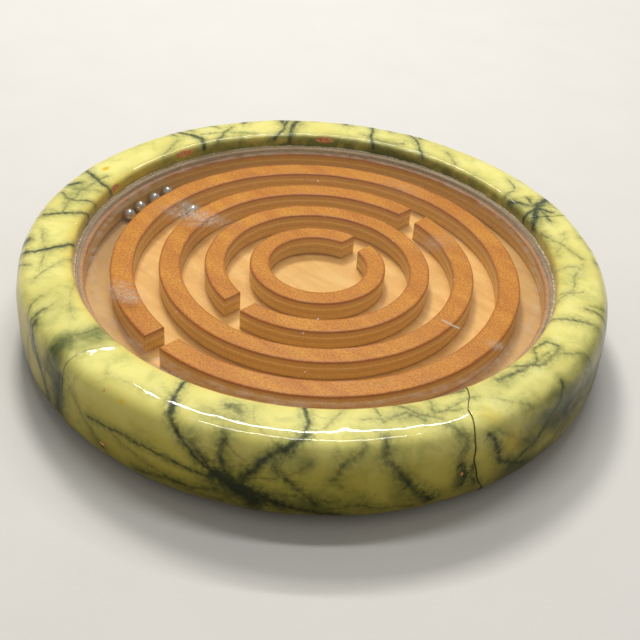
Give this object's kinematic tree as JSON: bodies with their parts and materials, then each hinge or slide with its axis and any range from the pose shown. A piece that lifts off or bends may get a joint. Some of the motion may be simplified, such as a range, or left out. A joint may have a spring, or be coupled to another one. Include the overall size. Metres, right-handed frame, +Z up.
{
  "type": "tilt maze game",
  "caption": "Round hand-held tilt maze: ring walls with gaps under a clear cover, steel balls rolling in the channels, a wide rounded rim covered in lacquered skin.",
  "frame": {"origin": "centre of the flat felt face that the tray rests on", "axes": "+Z up along the maze's axis, out of the clear cover; the gaps of the first and third ring walls face +Y, those of the second and fourth face -Y"},
  "size_m": [0.3, 0.3, 0.046],
  "materials": {
    "goatskin": "gloss lacquer over dyed goatskin, yellow-green with dark green veins",
    "rim_wood": "raw turned softwood",
    "floor_ply": "pale plywood, thin clear varnish",
    "wall_wood": "orange-brown stain, semi-gloss varnish",
    "border_wood": "reddish-brown stain, dull varnish",
    "clear_acrylic": "clear cast acrylic, polished, lightly scuffed",
    "ball_steel": "polished bearing steel",
    "bottom_wood": "raw plywood",
    "screw_steel": "plain zinc-plated steel",
    "felt": "dense wool felt"
  },
  "bodies": {
    "tray": {"rim_core": "rim_wood", "goatskin_panel_1": "goatskin", "goatskin_panel_2": "goatskin", "goatskin_panel_3": "goatskin", "goatskin_panel_4": "goatskin", "goatskin_panel_5": "goatskin", "maze_floor": "floor_ply", "maze_border": "border_wood", "maze_wall_1": "wall_wood", "maze_wall_2": "wall_wood", "maze_wall_3": "wall_wood", "maze_wall_4": "wall_wood", "clear_cover": "clear_acrylic", "bottom_board": "bottom_wood", "bottom_screws": "screw_steel", "base_felt": "felt"},
    "rolling_ball_1": {"ball_1": "ball_steel"},
    "rolling_ball_2": {"ball_2": "ball_steel"},
    "rolling_ball_3": {"ball_3": "ball_steel"},
    "rolling_ball_4": {"ball_4": "ball_steel"},
    "rolling_ball_5": {"ball_5": "ball_steel"}
  },
  "joints": [
    {"name": "ball_1_roll", "type": "hinge", "parent": "tray", "child": "rolling_ball_1", "pos_m": [0, 0, 0.0288], "axis": [0, 0, 1], "continuous": true},
    {"name": "ball_2_roll", "type": "hinge", "parent": "tray", "child": "rolling_ball_2", "pos_m": [0, 0, 0.0288], "axis": [0, 0, 1], "continuous": true},
    {"name": "ball_3_roll", "type": "hinge", "parent": "tray", "child": "rolling_ball_3", "pos_m": [0, 0, 0.0288], "axis": [0, 0, 1], "continuous": true},
    {"name": "ball_4_roll", "type": "hinge", "parent": "tray", "child": "rolling_ball_4", "pos_m": [0, 0, 0.0288], "axis": [0, 0, 1], "continuous": true},
    {"name": "ball_5_roll", "type": "hinge", "parent": "tray", "child": "rolling_ball_5", "pos_m": [0, 0, 0.0288], "axis": [0, 0, 1], "continuous": true}
  ],
  "couplings": [
    {"joint": "ball_2_roll", "follows": "ball_1_roll", "ratio": 1},
    {"joint": "ball_3_roll", "follows": "ball_1_roll", "ratio": 1},
    {"joint": "ball_4_roll", "follows": "ball_1_roll", "ratio": 1}
  ]
}
